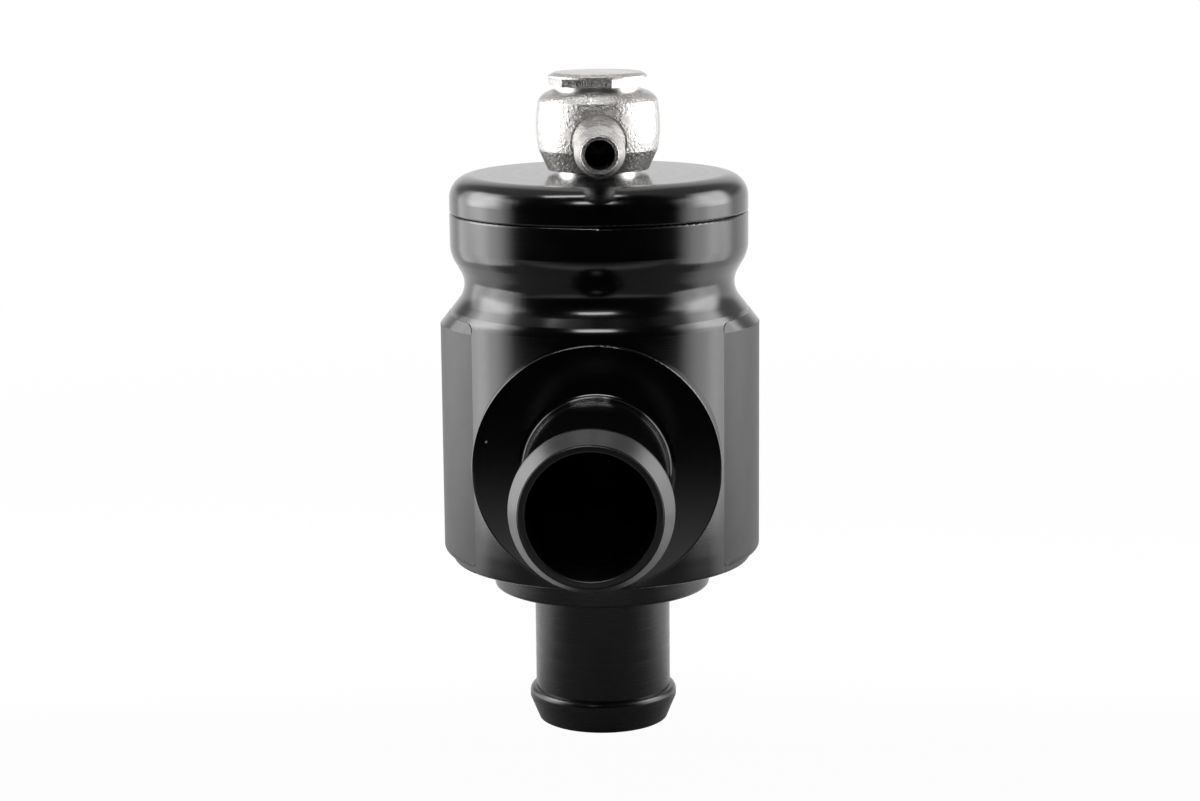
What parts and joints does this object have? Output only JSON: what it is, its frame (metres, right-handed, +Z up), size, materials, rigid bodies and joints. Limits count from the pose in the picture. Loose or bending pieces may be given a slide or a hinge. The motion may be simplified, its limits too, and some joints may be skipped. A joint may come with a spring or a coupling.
{
  "type": "blow off valve",
  "caption": "Piston blow-off valve with a waisted round body, screw cap, beaded hose spigots below and at the side, and a swivelling signal nipple on top.",
  "frame": {"origin": "centre of the inlet spigot's open end", "axes": "+Z up along the valve's axis towards the cap, -Y out of the side outlet"},
  "size_m": [0.0466, 0.0745, 0.0962],
  "materials": {
    "black_anodise": "satin",
    "nickel_plate": "polished",
    "washer_aluminium": "satin",
    "piston_aluminium": "satin",
    "slipper_plastic": "satin",
    "guide_plastic": "satin",
    "seal_rubber": "satin",
    "spring_steel": "satin"
  },
  "bodies": {
    "housing": {"valve_body": "black_anodise", "cap": "black_anodise", "inlet_tail": "black_anodise", "outlet_tail": "black_anodise", "banjo_bolt": "nickel_plate", "upper_washer": "washer_aluminium", "lower_washer": "washer_aluminium", "return_spring": "spring_steel", "cap_o_ring": "seal_rubber", "inlet_o_ring": "seal_rubber", "outlet_o_ring": "seal_rubber"},
    "valve_piston": {"piston": "piston_aluminium", "piston_seal": "slipper_plastic", "seal_energiser": "seal_rubber", "upper_guide_ring": "guide_plastic", "lower_guide_ring": "guide_plastic", "nose_o_ring": "seal_rubber"},
    "signal_fitting": {"banjo_fitting": "nickel_plate"}
  },
  "joints": [
    {"name": "piston_lift", "type": "slide", "parent": "housing", "child": "valve_piston", "axis": [0, 0, 1], "range_m": [0, 0.012], "stiffness_N_per_m": 1400, "springref_m": -0.012, "deforming": ["return_spring"]},
    {"name": "fitting_swivel", "type": "hinge", "parent": "housing", "child": "signal_fitting", "pos_m": [0, 0, 0.08685], "axis": [0, 0, 1], "continuous": true}
  ]
}
